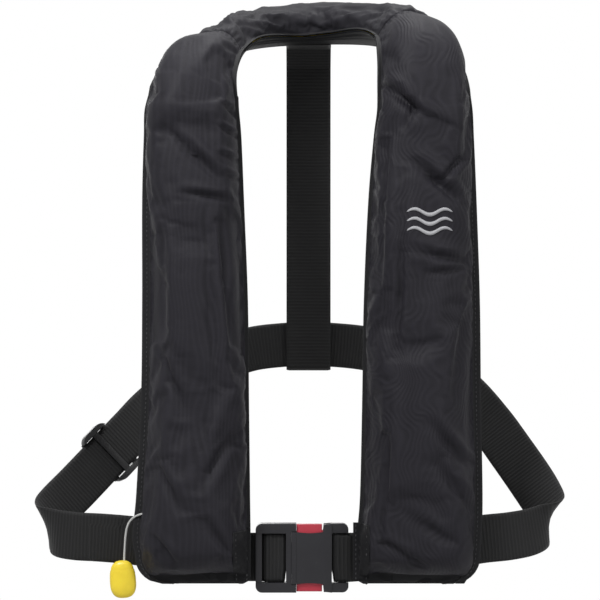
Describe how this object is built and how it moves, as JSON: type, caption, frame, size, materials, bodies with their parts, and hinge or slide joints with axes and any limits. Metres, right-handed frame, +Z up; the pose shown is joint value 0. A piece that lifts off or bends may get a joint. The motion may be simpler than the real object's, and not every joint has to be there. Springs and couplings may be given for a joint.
{
  "type": "inflatable life jacket",
  "caption": "Packed horseshoe life jacket: padded chest lobes and collar, back strap, waist belt with side-release buckle, strap slider and manual pull toggle.",
  "frame": {"origin": "centre of the wearer's neck, level with the collar's underside", "axes": "+X to the wearer's left, -Y to the front, +Z up"},
  "size_m": [0.501, 0.2599, 0.573],
  "materials": {
    "cover_cloth": "woven nylon, slight sheen",
    "panel_cloth": "woven nylon, matt",
    "hook_tape": "looped pile",
    "bladder_cloth": "coated nylon, folded",
    "webbing": "ribbed polyester webbing",
    "buckle_plastic": "moulded, satin",
    "slider_plastic": "moulded, satin",
    "press_red": "moulded, satin",
    "inflator_plastic": "moulded, satin",
    "lever_plastic": "moulded, satin",
    "gas_steel": "zinc plated",
    "seal_rubber": "matt",
    "pin_steel": "ground",
    "stem_brass": "machined",
    "indicator_green": "glossy",
    "tube_rubber": "matt",
    "valve_plastic": "moulded, satin",
    "whistle_plastic": "glossy",
    "cord_white": "braided",
    "toggle_yellow": "moulded, soft gloss"
  },
  "bodies": {
    "jacket": {"right_front_cover": "cover_cloth", "left_front_cover": "cover_cloth", "collar_cover": "cover_cloth", "right_back_panel": "panel_cloth", "left_back_panel": "panel_cloth", "collar_back_panel": "panel_cloth", "right_closure_strip": "hook_tape", "left_closure_strip": "hook_tape", "collar_closure_strip": "hook_tape", "bladder": "bladder_cloth", "right_belt_keeper": "panel_cloth", "left_belt_keeper": "panel_cloth", "back_strap": "webbing", "waist_belt": "webbing", "buckle_tab": "webbing", "buckle_housing": "buckle_plastic", "inflator_body": "inflator_plastic", "co2_cylinder": "gas_steel", "seal_washer": "seal_rubber", "lever_pivot_pin": "pin_steel", "pin_spring": "pin_steel", "valve_stem": "stem_brass", "cap_nut": "stem_brass", "status_indicator": "indicator_green", "oral_tube_flange": "tube_rubber", "oral_tube": "tube_rubber", "oral_valve_body": "valve_plastic", "whistle": "whistle_plastic", "whistle_loop": "webbing"},
    "buckle_male": {"buckle_male_frame": "buckle_plastic"},
    "upper_arm": {"upper_release_arm": "press_red"},
    "lower_arm": {"lower_release_arm": "press_red"},
    "slider": {"belt_slider": "slider_plastic"},
    "toggle": {"pull_toggle": "toggle_yellow", "pull_cord": "cord_white"},
    "lever": {"manual_lever": "lever_plastic"},
    "strike_pin": {"piercing_pin": "pin_steel"},
    "oral_poppet": {"valve_poppet": "valve_plastic"},
    "oral_cap": {"valve_dust_cap": "valve_plastic"}
  },
  "joints": [
    {"name": "buckle_unclip", "type": "slide", "parent": "jacket", "child": "buckle_male", "axis": [-1, 0, 0], "range_m": [0, 0.038], "deforming": ["buckle_tab", "upper_release_arm", "lower_release_arm"]},
    {"name": "upper_arm_press", "type": "hinge", "parent": "buckle_male", "child": "upper_arm", "pos_m": [-0.0126, -0.0892, -0.4695], "axis": [0, 1, 0], "range_deg": [0, 7], "stiffness_Nm_per_rad": 2},
    {"name": "lower_arm_press", "type": "hinge", "parent": "buckle_male", "child": "lower_arm", "pos_m": [-0.0126, -0.0892, -0.5105], "axis": [0, -1, 0], "range_deg": [0, 7], "stiffness_Nm_per_rad": 2},
    {"name": "slider_adjust", "type": "slide", "parent": "jacket", "child": "slider", "axis": [-0.6089, -0.4572, -0.6482], "range_m": [-0.03, 0.02]},
    {"name": "toggle_pull", "type": "slide", "parent": "jacket", "child": "toggle", "axis": [0, 0, -1], "range_m": [0, 0.045], "deforming": ["pull_cord"]},
    {"name": "lever_swing", "type": "hinge", "parent": "jacket", "child": "lever", "pos_m": [-0.108, -0.12, -0.477], "axis": [0, -1, 0], "range_deg": [0, 50]},
    {"name": "pin_strike", "type": "slide", "parent": "jacket", "child": "strike_pin", "axis": [0, 0, 1], "range_m": [0, 0.003], "deforming": ["pin_spring"]},
    {"name": "oral_poppet_press", "type": "slide", "parent": "jacket", "child": "oral_poppet", "axis": [0, 0, -1], "range_m": [0, 0.003], "stiffness_N_per_m": 200},
    {"name": "dust_cap_lift", "type": "slide", "parent": "jacket", "child": "oral_cap", "axis": [0, 0, 1], "range_m": [0, 0.014]}
  ],
  "couplings": [
    {"joint": "lever_swing", "follows": "toggle_pull", "rad_per_m": 19.3},
    {"joint": "pin_strike", "follows": "toggle_pull", "ratio": 0.0666}
  ]
}
